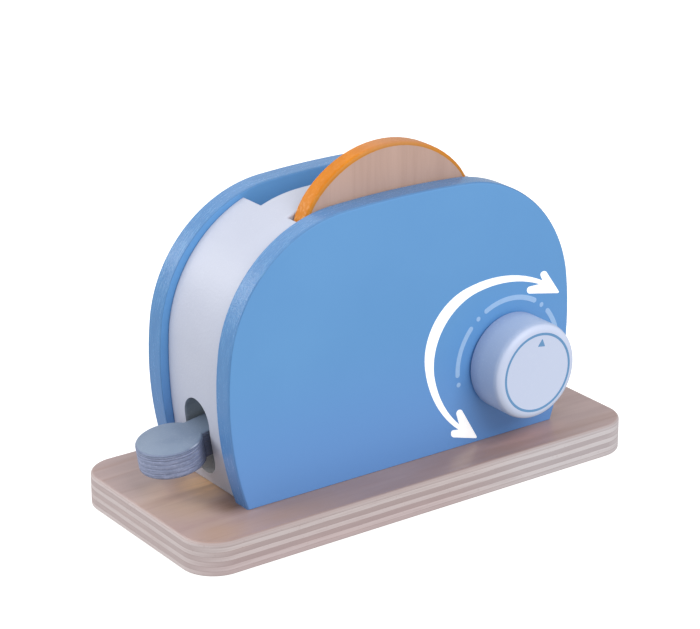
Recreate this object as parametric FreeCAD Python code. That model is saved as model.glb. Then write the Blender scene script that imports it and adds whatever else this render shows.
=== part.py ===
"""Wooden toy toaster on a plywood board.

Two blue panels stand on edge with a core between them. The core is two end blocks and a divider, which
leave two bread slots open at the top. A rocking lever at the left end lifts a tray under both slots, and a
knob turns on the front panel.

Frame: millimetres, +Z up, the board's underside on Z = 0 and centred on the Z axis. The lever points to -X,
the knob is on the right of the front panel, and the front faces -Y.
"""
import FreeCAD
import Part
import math
import os

# ---- Base board ----------------------------------------------------------------------------------
BOARD_LENGTH = 230.0
BOARD_WIDTH = 101.0
BOARD_THICKNESS = 15.0
BOARD_CORNER_RADIUS = 15.5
BOARD_EDGE_ROUND = 1.5

# ---- Toaster body: where it stands on the board, and the outline of its panels -------------------
BODY_X = 2.0
BODY_Y = 1.6
PANEL_HEIGHT = 122.3
PANEL_WIDTH = 180.0
PANEL_WIDEST_HEIGHT = 49.5
PANEL_CROWN_RADIUS = 497.0
PANEL_CORNER_RADIUS = 61.0
PANEL_SIDE_RADIUS = 149.0
PANEL_THICKNESS = 10.0
PANEL_EDGE_ROUND = 1.2

# ---- Core between the panels ---------------------------------------------------------------------
CORE_DEPTH = 43.5
CORE_SIDE_INSET = 4.0
CORE_TOP_INSET = 1.4
CORE_WIDEST_HEIGHT = 51.5
CORE_CORNER_RADIUS = 60.5
CORE_SIDE_RADIUS = 205.0
SLOT_LENGTH = 93.0
FRONT_SLOT_WIDTH = 10.0
BACK_SLOT_WIDTH = 13.5

# ---- Bread slice ---------------------------------------------------------------------------------
SLICE_WIDTH = 89.5
SLICE_HEIGHT = 84.0
SLICE_THICKNESS = 8.6
SLICE_CROWN_RADIUS = 50.5
SLICE_SHOULDER_RADIUS = 30.0
SLICE_BOTTOM_RADIUS = 9.0
SLICE_EDGE_ROUND = 2.0
SLICE_LEFT_OF_BODY = 1.2
SLICE_DIVIDER_GAP = 0.3

# ---- Lever: a plywood bar that rocks on a pin in the left block ----------------------------------
LEVER_PIVOT_LEFT_OF_BODY = 64.0
LEVER_PIVOT_HEIGHT = 24.8
LEVER_Y = 1.6
LEVER_TILT = 9.0
LEVER_THICKNESS = 12.0
LEVER_OUTER_ARM = 34.5
LEVER_INNER_ARM = 71.0
LEVER_PAD_RADIUS = 14.4
LEVER_NECK_WIDTH = 15.0
LEVER_NECK_INNER_LENGTH = 14.0
LEVER_ARM_WIDTH = 9.0
LEVER_EDGE_ROUND = 0.8
LEVER_MOUTH_WIDTH = 19.0
LEVER_MOUTH_HEIGHT = 35.0
LEVER_MOUTH_SILL = 5.0
LEVER_PIN_DIAMETER = 5.0
LEVER_PIN_END_WALL = 4.2
SPACER_DIAMETER = 12.0

# ---- Lift: tray, dowel under it, and guide rods --------------------------------------------------
TRAY_THICKNESS = 6.0
TRAY_SIDE_GAP = 0.8
TRAY_STOP_GAP = 0.3
TRAY_DOWEL_GROOVE = 1.0
LIFT_DOWEL_DIAMETER = 12.0
LIFT_DOWEL_LENGTH = 20.0
LIFT_DOWEL_GAP = 0.3
GUIDE_ROD_DIAMETER = 4.0
GUIDE_ROD_SPACING = 60.0
GUIDE_ROD_FRONT_WALL = 2.95
GUIDE_ROD_SEAT = 8.0

# ---- Knob ----------------------------------------------------------------------------------------
KNOB_X = 56.0
KNOB_HEIGHT = 35.7
KNOB_DIAMETER = 44.0
KNOB_DEPTH = 19.6
KNOB_FRONT_ROUND = 4.0
KNOB_BACK_ROUND = 0.8
KNOB_WASHER_DIAMETER = 34.0
KNOB_WASHER_THICKNESS = 0.8
KNOB_GAP = 0.1
AXLE_DIAMETER = 10.0
AXLE_IN_KNOB = 13.0
AXLE_IN_BLOCK = 16.0
AXLE_GROOVE_WIDTH = 3.2
AXLE_GROOVE_DEPTH = 1.5
AXLE_GROOVE_FROM_PANEL = 7.0
AXLE_PIN_DIAMETER = 2.5
AXLE_PIN_ABOVE_AXIS = 9.0
AXLE_PIN_GAP = 0.3

# ---- Fasteners -----------------------------------------------------------------------------------
DOWEL_DIAMETER = 8.0
PANEL_DOWEL_IN_PANEL = 7.5
PANEL_DOWEL_IN_BLOCK = 12.0
PANEL_DOWEL_X = 60.0
PANEL_DOWEL_HEIGHTS = (10.0, 85.0)
DIVIDER_DOWEL_LENGTH = 30.0
DIVIDER_DOWEL_ABOVE_FOOT = 15.0
DIVIDER_DOWEL_BELOW_TOP = 28.0
DOWEL_END_GAP = 0.5
SCREW_X = 72.0
SCREW_Y = 15.6
SCREW_DIAMETER = 4.0
SCREW_HEAD_DIAMETER = 8.0
SCREW_HEAD_HEIGHT = 2.4
SCREW_HEAD_RECESS = 0.4
SCREW_IN_BLOCK = 22.0
SCREW_CROSS_WIDTH = 1.0
SCREW_CROSS_LENGTH = 4.4
SCREW_CROSS_DEPTH = 1.4

# ---- Clearances ----------------------------------------------------------------------------------
RUNNING_CLEARANCE = 0.08
SCREW_HOLE_CLEARANCE = 0.2
SPACER_CLEARANCE = 0.2
CUT_OVERRUN = 5.0

# ---- Places worked out from the sizes above ------------------------------------------------------
X_AXIS = FreeCAD.Vector(1, 0, 0)
Y_AXIS = FreeCAD.Vector(0, 1, 0)
Z_AXIS = FreeCAD.Vector(0, 0, 1)

BOARD_TOP = BOARD_THICKNESS
CORE_FRONT = BODY_Y - CORE_DEPTH / 2
CORE_BACK = BODY_Y + CORE_DEPTH / 2
PANEL_FRONT = CORE_FRONT - PANEL_THICKNESS
DIVIDER_FRONT = CORE_FRONT + FRONT_SLOT_WIDTH
DIVIDER_BACK = CORE_BACK - BACK_SLOT_WIDTH
SLOT_LEFT = BODY_X - SLOT_LENGTH / 2
SLOT_RIGHT = BODY_X + SLOT_LENGTH / 2

PIVOT = FreeCAD.Vector(BODY_X - LEVER_PIVOT_LEFT_OF_BODY, BODY_Y + LEVER_Y, BOARD_TOP + LEVER_PIVOT_HEIGHT)
TILT = math.radians(LEVER_TILT)

# The lift dowel rests on the lever's sloping top face, straight above the middle of the slots.
LIFT_DOWEL_RADIUS = LIFT_DOWEL_DIAMETER / 2
LIFT_DOWEL_Z = (PIVOT.z + (BODY_X - PIVOT.x) * math.tan(TILT)
                + (LEVER_THICKNESS / 2 + LIFT_DOWEL_RADIUS) / math.cos(TILT) + LIFT_DOWEL_GAP)
TRAY_BOTTOM = LIFT_DOWEL_Z + LIFT_DOWEL_RADIUS - TRAY_DOWEL_GROOVE
TRAY_TOP = TRAY_BOTTOM + TRAY_THICKNESS
DIVIDER_BOTTOM = TRAY_TOP + TRAY_STOP_GAP
CORE_TOP = BOARD_TOP + PANEL_HEIGHT - CORE_TOP_INSET
DIVIDER_DOWEL_HEIGHTS = (DIVIDER_BOTTOM + DIVIDER_DOWEL_ABOVE_FOOT, CORE_TOP - DIVIDER_DOWEL_BELOW_TOP)
GUIDE_ROD_Y = DIVIDER_FRONT + GUIDE_ROD_FRONT_WALL + GUIDE_ROD_DIAMETER / 2
KNOB_AXIS_X = BODY_X + KNOB_X
KNOB_AXIS_Z = BOARD_TOP + KNOB_HEIGHT
WASHER_FRONT = PANEL_FRONT - KNOB_GAP - KNOB_WASHER_THICKNESS


# ---- Helpers -------------------------------------------------------------------------------------
def box(x_low, x_high, y_low, y_high, z_low, z_high):
    corner = FreeCAD.Vector(x_low, y_low, z_low)
    return Part.makeBox(x_high - x_low, y_high - y_low, z_high - z_low, corner)


def cylinder(radius, start, length, axis):
    return Part.makeCylinder(radius, length, start, axis)


def point_on_circle(centre, radius, angle):
    """Point on a circle in the XZ plane, with the angle in radians from +X."""
    return FreeCAD.Vector(centre[0] + radius * math.cos(angle), 0, centre[1] + radius * math.sin(angle))


def arc(centre, radius, start, end):
    middle = (start + end) / 2
    points = [point_on_circle(centre, radius, angle) for angle in (start, middle, end)]
    return Part.Arc(*points).toShape()


def touching_centre(crown, crown_radius, side, side_radius, radius):
    """Centre of the corner circle that lies inside the crown and side circles and touches both."""
    reach_crown = crown_radius - radius
    reach_side = side_radius - radius
    across = side[0] - crown[0]
    up = side[1] - crown[1]
    distance = math.hypot(across, up)
    along = (reach_crown ** 2 - reach_side ** 2 + distance ** 2) / (2 * distance)
    off = math.sqrt(reach_crown ** 2 - along ** 2)
    x = crown[0] + (along * across - off * up) / distance
    z = crown[1] + (along * up + off * across) / distance
    other_x = crown[0] + (along * across + off * up) / distance
    other_z = crown[1] + (along * up - off * across) / distance
    return (x, z) if x + z > other_x + other_z else (other_x, other_z)


def loaf_face(width, height, widest_height, crown_radius, corner_radius, side_radius):
    """Loaf outline standing on z = 0: a shallow crown, round corners and bulging sides, each one arc."""
    crown = (0.0, height - crown_radius)
    side = (width / 2 - side_radius, widest_height)
    corner = touching_centre(crown, crown_radius, side, side_radius, corner_radius)
    crown_end = math.atan2(corner[1] - crown[1], corner[0] - crown[0])
    side_top = math.atan2(corner[1] - side[1], corner[0] - side[0])
    side_foot = -math.asin(widest_height / side_radius)
    right = [arc(side, side_radius, side_foot, side_top),
             arc(corner, corner_radius, side_top, crown_end)]
    top = arc(crown, crown_radius, crown_end, math.pi - crown_end)
    left = [mirrored(edge) for edge in reversed(right)]
    foot_right = point_on_circle(side, side_radius, side_foot)
    foot_left = FreeCAD.Vector(-foot_right.x, 0, foot_right.z)
    foot = Part.makeLine(foot_left, foot_right)
    return Part.Face(Part.Wire(Part.__sortEdges__(right + [top] + left + [foot])))


def mirrored(shape):
    return shape.mirror(FreeCAD.Vector(0, 0, 0), X_AXIS)


def edges_along_face(solid, y):
    """Edges of the solid that lie wholly in the plane at this Y."""
    flat = []
    for edge in solid.Edges:
        if abs(edge.BoundBox.YMin - y) < 1e-4 and abs(edge.BoundBox.YMax - y) < 1e-4:
            flat.append(edge)
    return flat


def edges_at_height(solid, z):
    """Edges of the solid that lie wholly in the level plane at this Z."""
    level = []
    for edge in solid.Edges:
        if abs(edge.BoundBox.ZMin - z) < 1e-4 and abs(edge.BoundBox.ZMax - z) < 1e-4:
            level.append(edge)
    return level


def group(solids):
    return Part.makeCompound(solids)


# ---- Fasteners, as solids and as the holes that take them ----------------------------------------
def panel_dowel_places():
    for side in (-1, 1):
        for height in PANEL_DOWEL_HEIGHTS:
            yield BODY_X + side * PANEL_DOWEL_X, BOARD_TOP + height


def front_dowels(end_gap):
    start_y = CORE_FRONT - PANEL_DOWEL_IN_PANEL - end_gap
    length = PANEL_DOWEL_IN_PANEL + PANEL_DOWEL_IN_BLOCK + 2 * end_gap
    return [cylinder(DOWEL_DIAMETER / 2, FreeCAD.Vector(x, start_y, z), length, Y_AXIS)
            for x, z in panel_dowel_places()]


def back_dowels(end_gap):
    start_y = CORE_BACK - PANEL_DOWEL_IN_BLOCK - end_gap
    length = PANEL_DOWEL_IN_PANEL + PANEL_DOWEL_IN_BLOCK + 2 * end_gap
    return [cylinder(DOWEL_DIAMETER / 2, FreeCAD.Vector(x, start_y, z), length, Y_AXIS)
            for x, z in panel_dowel_places()]


def divider_dowel_solids(end_gap):
    dowels = []
    length = DIVIDER_DOWEL_LENGTH + 2 * end_gap
    for seam in (SLOT_LEFT, SLOT_RIGHT):
        for z in DIVIDER_DOWEL_HEIGHTS:
            start = FreeCAD.Vector(seam - length / 2, (DIVIDER_FRONT + DIVIDER_BACK) / 2, z)
            dowels.append(cylinder(DOWEL_DIAMETER / 2, start, length, X_AXIS))
    return dowels


def screw_places():
    for side in (-1, 1):
        for row in (-1, 1):
            yield FreeCAD.Vector(BODY_X + side * SCREW_X, BODY_Y + row * SCREW_Y, 0)


def screw(place):
    shank_radius = SCREW_DIAMETER / 2
    head_base = place + Z_AXIS * SCREW_HEAD_RECESS
    head = Part.makeCone(SCREW_HEAD_DIAMETER / 2, shank_radius, SCREW_HEAD_HEIGHT, head_base, Z_AXIS)
    shank_start = head_base + Z_AXIS * SCREW_HEAD_HEIGHT
    shank_length = BOARD_TOP + SCREW_IN_BLOCK - shank_start.z - shank_radius
    shank = cylinder(shank_radius, shank_start, shank_length, Z_AXIS)
    tip = Part.makeCone(shank_radius, 0, shank_radius, shank_start + Z_AXIS * shank_length, Z_AXIS)
    solid = head.fuse([shank, tip]).removeSplitter()
    half_long = SCREW_CROSS_LENGTH / 2
    half_wide = SCREW_CROSS_WIDTH / 2
    cross_low = head_base.z - CUT_OVERRUN
    cross_high = head_base.z + SCREW_CROSS_DEPTH
    for half_x, half_y in ((half_long, half_wide), (half_wide, half_long)):
        slot = box(place.x - half_x, place.x + half_x, place.y - half_y, place.y + half_y,
                   cross_low, cross_high)
        solid = solid.cut(slot)
    return solid


def screw_board_hole(place):
    shank_radius = SCREW_DIAMETER / 2 + SCREW_HOLE_CLEARANCE
    head_radius = SCREW_HEAD_DIAMETER / 2 + SCREW_HOLE_CLEARANCE
    mouth = cylinder(head_radius, place, SCREW_HEAD_RECESS, Z_AXIS)
    sink_start = place + Z_AXIS * SCREW_HEAD_RECESS
    sink = Part.makeCone(head_radius, shank_radius, SCREW_HEAD_HEIGHT, sink_start, Z_AXIS)
    bore = cylinder(shank_radius, place, BOARD_TOP + CUT_OVERRUN, Z_AXIS)
    return mouth.fuse([sink, bore])


def screw_block_hole(place):
    radius = SCREW_DIAMETER / 2
    start = FreeCAD.Vector(place.x, place.y, BOARD_TOP - CUT_OVERRUN)
    return cylinder(radius, start, SCREW_IN_BLOCK + CUT_OVERRUN, Z_AXIS)


# ---- Core ----------------------------------------------------------------------------------------
def core_solid():
    width = PANEL_WIDTH - 2 * CORE_SIDE_INSET
    height = PANEL_HEIGHT - CORE_TOP_INSET
    face = loaf_face(width, height, CORE_WIDEST_HEIGHT, PANEL_CROWN_RADIUS, CORE_CORNER_RADIUS,
                     CORE_SIDE_RADIUS)
    solid = face.extrude(Y_AXIS * CORE_DEPTH)
    solid.translate(FreeCAD.Vector(BODY_X, CORE_FRONT, BOARD_TOP))
    return solid


def lever_mouth():
    """Upright slot with round ends, right through the left block."""
    radius = LEVER_MOUTH_WIDTH / 2
    low = BOARD_TOP + LEVER_MOUTH_SILL
    high = low + LEVER_MOUTH_HEIGHT
    start = BODY_X - PANEL_WIDTH / 2 - CUT_OVERRUN
    length = SLOT_LEFT + CUT_OVERRUN - start
    middle = box(start, start + length, PIVOT.y - radius, PIVOT.y + radius, low + radius, high - radius)
    ends = [cylinder(radius, FreeCAD.Vector(start, PIVOT.y, z), length, X_AXIS)
            for z in (low + radius, high - radius)]
    return middle.fuse(ends)


def lever_pin_solid():
    start = FreeCAD.Vector(PIVOT.x, CORE_FRONT + DOWEL_END_GAP, PIVOT.z)
    length = CORE_DEPTH - DOWEL_END_GAP - LEVER_PIN_END_WALL
    return cylinder(LEVER_PIN_DIAMETER / 2, start, length, Y_AXIS)


def lever_pin_hole():
    start = FreeCAD.Vector(PIVOT.x, CORE_FRONT - CUT_OVERRUN, PIVOT.z)
    length = CORE_DEPTH + CUT_OVERRUN - LEVER_PIN_END_WALL
    return cylinder(LEVER_PIN_DIAMETER / 2, start, length, Y_AXIS)


def left_block_solid():
    keep = box(SLOT_LEFT - PANEL_WIDTH, SLOT_LEFT, CORE_FRONT, CORE_BACK, 0, BOARD_TOP + PANEL_HEIGHT)
    solid = core_solid().common(keep)
    cuts = [lever_mouth(), lever_pin_hole()]
    cuts += front_dowels(DOWEL_END_GAP) + back_dowels(DOWEL_END_GAP) + divider_dowel_solids(DOWEL_END_GAP)
    cuts += [screw_block_hole(place) for place in screw_places()]
    return solid.cut(cuts)


def right_block_solid():
    keep = box(SLOT_RIGHT, SLOT_RIGHT + PANEL_WIDTH, CORE_FRONT, CORE_BACK, 0, BOARD_TOP + PANEL_HEIGHT)
    solid = core_solid().common(keep)
    cuts = [axle_hole(), axle_pin_hole()]
    cuts += front_dowels(DOWEL_END_GAP) + back_dowels(DOWEL_END_GAP) + divider_dowel_solids(DOWEL_END_GAP)
    cuts += [screw_block_hole(place) for place in screw_places()]
    return solid.cut(cuts)


def divider_solid():
    keep = box(SLOT_LEFT, SLOT_RIGHT, DIVIDER_FRONT, DIVIDER_BACK, DIVIDER_BOTTOM, BOARD_TOP + PANEL_HEIGHT)
    solid = core_solid().common(keep)
    return solid.cut(divider_dowel_solids(DOWEL_END_GAP) + guide_rod_solids(0, DOWEL_END_GAP))


# ---- Panels and board ----------------------------------------------------------------------------
def panel_solid(front_y):
    face = loaf_face(PANEL_WIDTH, PANEL_HEIGHT, PANEL_WIDEST_HEIGHT, PANEL_CROWN_RADIUS, PANEL_CORNER_RADIUS,
                     PANEL_SIDE_RADIUS)
    solid = face.extrude(Y_AXIS * PANEL_THICKNESS)
    solid.translate(FreeCAD.Vector(BODY_X, front_y, BOARD_TOP))
    outline = edges_along_face(solid, front_y) + edges_along_face(solid, front_y + PANEL_THICKNESS)
    rounded = [edge for edge in outline if edge.BoundBox.ZMax > BOARD_TOP + CUT_OVERRUN]
    return solid.makeFillet(PANEL_EDGE_ROUND, rounded)


def front_panel_solid():
    solid = panel_solid(PANEL_FRONT)
    bore_start = FreeCAD.Vector(KNOB_AXIS_X, PANEL_FRONT - CUT_OVERRUN, KNOB_AXIS_Z)
    bore_length = PANEL_THICKNESS + 2 * CUT_OVERRUN
    bore = cylinder(AXLE_DIAMETER / 2 + RUNNING_CLEARANCE, bore_start, bore_length, Y_AXIS)
    return solid.cut([bore] + front_dowels(DOWEL_END_GAP))


def back_panel_solid():
    solid = panel_solid(CORE_BACK)
    return solid.cut(back_dowels(DOWEL_END_GAP))


def base_board_solid():
    half_length = BOARD_LENGTH / 2
    half_width = BOARD_WIDTH / 2
    blank = box(-half_length, half_length, -half_width, half_width, 0, BOARD_THICKNESS)
    corners = [edge for edge in blank.Edges if edge.BoundBox.ZLength > BOARD_THICKNESS / 2]
    board = blank.makeFillet(BOARD_CORNER_RADIUS, corners)
    rims = edges_at_height(board, 0) + edges_at_height(board, BOARD_THICKNESS)
    board = board.makeFillet(BOARD_EDGE_ROUND, rims)
    cuts = [screw_board_hole(place) for place in screw_places()]
    return board.cut(cuts + guide_rod_solids(DOWEL_END_GAP, 0))


# ---- Lever ---------------------------------------------------------------------------------------
def tilted(solid):
    """Turn a solid drawn level at the pivot so that the lever's outer end dips."""
    solid.rotate(FreeCAD.Vector(0, 0, 0), Y_AXIS, -LEVER_TILT)
    solid.translate(PIVOT)
    return solid


def lever_solid():
    half = LEVER_THICKNESS / 2
    neck_half = LEVER_NECK_WIDTH / 2
    arm_half = LEVER_ARM_WIDTH / 2
    pad = cylinder(LEVER_PAD_RADIUS, FreeCAD.Vector(-LEVER_OUTER_ARM, 0, -half), LEVER_THICKNESS, Z_AXIS)
    neck = box(-LEVER_OUTER_ARM, LEVER_NECK_INNER_LENGTH, -neck_half, neck_half, -half, half)
    arm = box(0, LEVER_INNER_ARM, -arm_half, arm_half, -half, half)
    solid = pad.fuse([neck, arm]).removeSplitter()
    solid = solid.makeFillet(LEVER_EDGE_ROUND, edges_at_height(solid, -half) + edges_at_height(solid, half))
    bore_radius = LEVER_PIN_DIAMETER / 2 + RUNNING_CLEARANCE
    bore = cylinder(bore_radius, FreeCAD.Vector(0, -LEVER_NECK_WIDTH, 0), 2 * LEVER_NECK_WIDTH, Y_AXIS)
    return tilted(solid.cut(bore))


def lever_spacer_solids():
    thickness = (LEVER_MOUTH_WIDTH - LEVER_NECK_WIDTH) / 2 - SPACER_CLEARANCE
    bore_radius = LEVER_PIN_DIAMETER / 2 + RUNNING_CLEARANCE
    spacers = []
    for start_y in (-LEVER_NECK_WIDTH / 2 - thickness, LEVER_NECK_WIDTH / 2):
        start = FreeCAD.Vector(0, start_y, 0)
        ring = cylinder(SPACER_DIAMETER / 2, start, thickness, Y_AXIS)
        spacers.append(tilted(ring.cut(cylinder(bore_radius, start, thickness, Y_AXIS))))
    return spacers


# ---- Lift ----------------------------------------------------------------------------------------
def guide_rod_solids(foot_gap, head_gap):
    low = BOARD_TOP - GUIDE_ROD_SEAT - foot_gap
    high = DIVIDER_BOTTOM + GUIDE_ROD_SEAT + head_gap
    return [cylinder(GUIDE_ROD_DIAMETER / 2, FreeCAD.Vector(x, GUIDE_ROD_Y, low), high - low, Z_AXIS)
            for x in (BODY_X - GUIDE_ROD_SPACING / 2, BODY_X + GUIDE_ROD_SPACING / 2)]


def lift_dowel_solid():
    start = FreeCAD.Vector(BODY_X, PIVOT.y - LIFT_DOWEL_LENGTH / 2, LIFT_DOWEL_Z)
    return cylinder(LIFT_DOWEL_RADIUS, start, LIFT_DOWEL_LENGTH, Y_AXIS)


def lift_tray_solid():
    tray = box(SLOT_LEFT + TRAY_SIDE_GAP, SLOT_RIGHT - TRAY_SIDE_GAP, CORE_FRONT + TRAY_SIDE_GAP,
               CORE_BACK - TRAY_SIDE_GAP, TRAY_BOTTOM, TRAY_TOP)
    radius = GUIDE_ROD_DIAMETER / 2 + RUNNING_CLEARANCE
    bores = [cylinder(radius, FreeCAD.Vector(x, GUIDE_ROD_Y, TRAY_BOTTOM - CUT_OVERRUN),
                      TRAY_THICKNESS + 2 * CUT_OVERRUN, Z_AXIS)
             for x in (BODY_X - GUIDE_ROD_SPACING / 2, BODY_X + GUIDE_ROD_SPACING / 2)]
    return tray.cut(bores + [lift_dowel_solid()])


# ---- Bread slice ---------------------------------------------------------------------------------
def bread_slice_solid():
    half = SLICE_WIDTH / 2
    crown = (0.0, SLICE_HEIGHT - SLICE_CROWN_RADIUS)
    shoulder_x = half - SLICE_SHOULDER_RADIUS
    reach = SLICE_CROWN_RADIUS - SLICE_SHOULDER_RADIUS
    shoulder = (shoulder_x, crown[1] + math.sqrt(reach ** 2 - shoulder_x ** 2))
    crown_end = math.atan2(shoulder[1] - crown[1], shoulder[0] - crown[0])
    heel = (half - SLICE_BOTTOM_RADIUS, SLICE_BOTTOM_RADIUS)
    right = [arc(heel, SLICE_BOTTOM_RADIUS, -math.pi / 2, 0),
             Part.makeLine(FreeCAD.Vector(half, 0, heel[1]), FreeCAD.Vector(half, 0, shoulder[1])),
             arc(shoulder, SLICE_SHOULDER_RADIUS, 0, crown_end)]
    top = arc(crown, SLICE_CROWN_RADIUS, crown_end, math.pi - crown_end)
    foot = Part.makeLine(FreeCAD.Vector(-heel[0], 0, 0), FreeCAD.Vector(heel[0], 0, 0))
    left = [mirrored(edge) for edge in right]
    face = Part.Face(Part.Wire(Part.__sortEdges__(right + [top] + left + [foot])))
    solid = face.extrude(Y_AXIS * SLICE_THICKNESS)
    rims = edges_along_face(solid, 0) + edges_along_face(solid, SLICE_THICKNESS)
    solid = solid.makeFillet(SLICE_EDGE_ROUND, rims)
    front_y = DIVIDER_FRONT - SLICE_DIVIDER_GAP - SLICE_THICKNESS
    solid.translate(FreeCAD.Vector(BODY_X - SLICE_LEFT_OF_BODY, front_y, TRAY_TOP))
    return solid


# ---- Knob ----------------------------------------------------------------------------------------
def knob_solid():
    back = FreeCAD.Vector(KNOB_AXIS_X, WASHER_FRONT, KNOB_AXIS_Z)
    front_y = WASHER_FRONT - KNOB_DEPTH
    body = cylinder(KNOB_DIAMETER / 2, back, KNOB_DEPTH, Y_AXIS * -1)
    body = body.makeFillet(KNOB_FRONT_ROUND, edges_along_face(body, front_y))
    body = body.makeFillet(KNOB_BACK_ROUND, edges_along_face(body, WASHER_FRONT))
    return body.cut(cylinder(AXLE_DIAMETER / 2, back, AXLE_IN_KNOB + DOWEL_END_GAP, Y_AXIS * -1))


def knob_axle_solid():
    start_y = WASHER_FRONT - AXLE_IN_KNOB
    end_y = CORE_FRONT + AXLE_IN_BLOCK
    radius = AXLE_DIAMETER / 2
    axle = cylinder(radius, FreeCAD.Vector(KNOB_AXIS_X, start_y, KNOB_AXIS_Z), end_y - start_y, Y_AXIS)
    groove_start = FreeCAD.Vector(KNOB_AXIS_X, CORE_FRONT + AXLE_GROOVE_FROM_PANEL, KNOB_AXIS_Z)
    ring = cylinder(radius + CUT_OVERRUN, groove_start, AXLE_GROOVE_WIDTH, Y_AXIS)
    ring = ring.cut(cylinder(radius - AXLE_GROOVE_DEPTH, groove_start, AXLE_GROOVE_WIDTH, Y_AXIS))
    return axle.cut(ring)


def axle_hole():
    start = FreeCAD.Vector(KNOB_AXIS_X, CORE_FRONT - CUT_OVERRUN, KNOB_AXIS_Z)
    length = CUT_OVERRUN + AXLE_IN_BLOCK + DOWEL_END_GAP
    return cylinder(AXLE_DIAMETER / 2 + RUNNING_CLEARANCE, start, length, Y_AXIS)


def axle_pin(foot_z):
    """Upright pin beside the axle, standing in its groove."""
    x = KNOB_AXIS_X - AXLE_DIAMETER / 2 + AXLE_GROOVE_DEPTH - AXLE_PIN_GAP - AXLE_PIN_DIAMETER / 2
    y = CORE_FRONT + AXLE_GROOVE_FROM_PANEL + AXLE_GROOVE_WIDTH / 2
    length = KNOB_AXIS_Z + AXLE_PIN_ABOVE_AXIS - foot_z
    return cylinder(AXLE_PIN_DIAMETER / 2, FreeCAD.Vector(x, y, foot_z), length, Z_AXIS)


def axle_pin_solid():
    return axle_pin(BOARD_TOP)


def axle_pin_hole():
    return axle_pin(BOARD_TOP - CUT_OVERRUN)


def knob_washer_solid():
    start = FreeCAD.Vector(KNOB_AXIS_X, WASHER_FRONT, KNOB_AXIS_Z)
    ring = cylinder(KNOB_WASHER_DIAMETER / 2, start, KNOB_WASHER_THICKNESS, Y_AXIS)
    return ring.cut(cylinder(AXLE_DIAMETER / 2, start, KNOB_WASHER_THICKNESS, Y_AXIS))


# ---- Every node, and its STEP file ---------------------------------------------------------------
def all_nodes():
    return {
        "base_board": base_board_solid(),
        "base_screws": group([screw(place) for place in screw_places()]),
        "front_panel": front_panel_solid(),
        "back_panel": back_panel_solid(),
        "left_block": left_block_solid(),
        "right_block": right_block_solid(),
        "divider": divider_solid(),
        "panel_dowels": group(front_dowels(0) + back_dowels(0)),
        "divider_dowels": group(divider_dowel_solids(0)),
        "lever": lever_solid(),
        "lever_spacers": group(lever_spacer_solids()),
        "lever_pin": lever_pin_solid(),
        "lift_tray": lift_tray_solid(),
        "lift_dowel": lift_dowel_solid(),
        "guide_rods": group(guide_rod_solids(0, 0)),
        "bread_slice": bread_slice_solid(),
        "knob": knob_solid(),
        "knob_axle": knob_axle_solid(),
        "knob_washer": knob_washer_solid(),
        "axle_pin": axle_pin_solid(),
    }


os.makedirs("parts", exist_ok=True)
for name, shape in all_nodes().items():
    shape.exportStep(os.path.join("parts", name + ".step"))
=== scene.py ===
"""Looks of a wooden toy toaster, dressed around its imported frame.

Everything is in metres in the frame's own axes: +Z up, the board's underside on Z = 0, the lever towards -X,
the knob at the right of the front panel, and the front facing -Y.
"""
import bmesh
import bpy
import math
from mathutils import Matrix, Vector


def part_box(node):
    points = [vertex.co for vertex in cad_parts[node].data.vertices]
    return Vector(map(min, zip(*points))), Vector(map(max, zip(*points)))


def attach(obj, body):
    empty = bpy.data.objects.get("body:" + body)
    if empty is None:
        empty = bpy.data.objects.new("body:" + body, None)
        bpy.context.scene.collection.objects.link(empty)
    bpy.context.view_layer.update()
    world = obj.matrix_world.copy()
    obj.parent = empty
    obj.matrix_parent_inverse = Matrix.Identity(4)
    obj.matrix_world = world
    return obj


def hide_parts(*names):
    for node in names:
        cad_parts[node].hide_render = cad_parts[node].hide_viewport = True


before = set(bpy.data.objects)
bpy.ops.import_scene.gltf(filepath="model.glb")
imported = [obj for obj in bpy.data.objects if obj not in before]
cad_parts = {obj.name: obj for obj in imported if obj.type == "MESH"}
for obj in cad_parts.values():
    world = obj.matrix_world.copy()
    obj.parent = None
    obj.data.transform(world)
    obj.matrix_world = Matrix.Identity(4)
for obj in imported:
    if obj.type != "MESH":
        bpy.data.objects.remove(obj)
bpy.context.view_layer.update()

MM = 0.001
X_AXIS = Vector((1, 0, 0))
Y_AXIS = Vector((0, 1, 0))
Z_AXIS = Vector((0, 0, 1))

# ---- Modelling ----
NEAR = 0.01 * MM
CUT_WITHIN = 0.001 * MM
MERGE_WITHIN = 0.002 * MM
CUTTER_OVERSHOOT = 5.0 * MM
ARC_STEP_ANGLE = math.radians(7.5)
ARC_STEP_LENGTH = 6.0 * MM
ARC_LEAST_STEPS = 3
LATHE_STEPS = 96
DRILL_SIDES = 48
GROOVE_HALF_WIDTH = 1.6  # times the groove's depth
SHARP_ANGLE = math.radians(40)
ALONG = 0.9  # least cosine between directions that run the same way
FLAT_ON = 0.999  # least cosine between an axis and the normal of a flat face across it
# What is called a round below is a bevel's radius and its number of flats.

# ---- Board ----
BOARD_CORNER_ROUND = (15.5 * MM, 18)
BOARD_EDGE_ROUND = (1.5 * MM, 5)
BOARD_FOOT_ROUND = (0.6 * MM, 5)
BOARD_PLIES = 7
BOARD_GLUE_GROOVE = 0.07 * MM
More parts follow.
